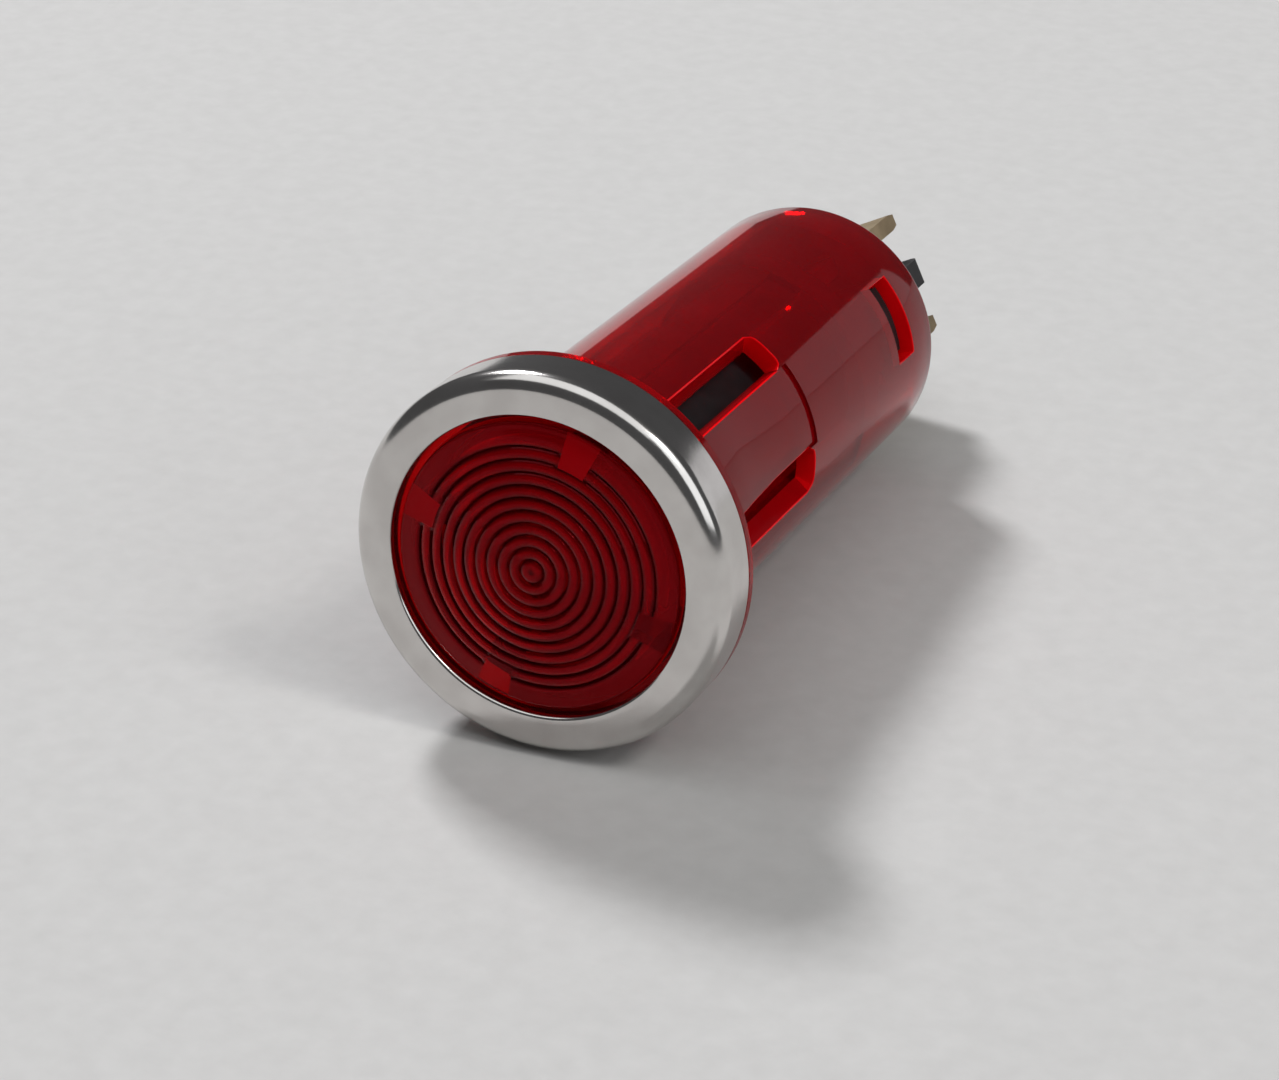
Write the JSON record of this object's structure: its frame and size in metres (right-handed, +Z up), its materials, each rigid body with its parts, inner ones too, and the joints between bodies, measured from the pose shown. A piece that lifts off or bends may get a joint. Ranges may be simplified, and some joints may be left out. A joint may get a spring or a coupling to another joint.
{
  "type": "panel pilot light",
  "caption": "Snap-in panel pilot light: a ringed transparent red lens and barrel in a plated bezel, with a neon lamp, a series resistor and flat tab terminals.",
  "frame": {"origin": "centre of the barrel in the plane where the flange's back face seats on the panel", "axes": "-Y out of the lens toward the viewer of the panel, +Y along the barrel toward the terminals, +Z up; the snap strips are 26.5 degrees above +X and opposite it"},
  "size_m": [0.0164, 0.0388, 0.0164],
  "materials": {
    "red_plastic": "polished, transparent",
    "plated_brass": "bright plated",
    "black_plastic": "matte",
    "blade_brass": "satin",
    "lamp_glass": "clear",
    "electrode_metal": "satin",
    "lead_wire": "tinned",
    "resistor_coat": "lacquered",
    "tube_plastic": "satin",
    "solder": "satin"
  },
  "bodies": {
    "root": {"lens_barrel": "red_plastic", "bezel_ring": "plated_brass", "lamp_holder": "black_plastic", "rear_plug": "black_plastic", "blade_upper": "blade_brass", "blade_lower": "blade_brass", "neon_glass": "lamp_glass", "electrode_upper": "electrode_metal", "electrode_lower": "electrode_metal", "lamp_lead_upper": "lead_wire", "lamp_lead_lower": "lead_wire", "lead_crimp": "lead_wire", "resistor_body": "resistor_coat", "resistor_lead_front": "lead_wire", "resistor_lead_rear": "lead_wire", "lead_tube": "tube_plastic", "solder_upper": "solder", "solder_lower": "solder"}
  },
  "joints": []
}
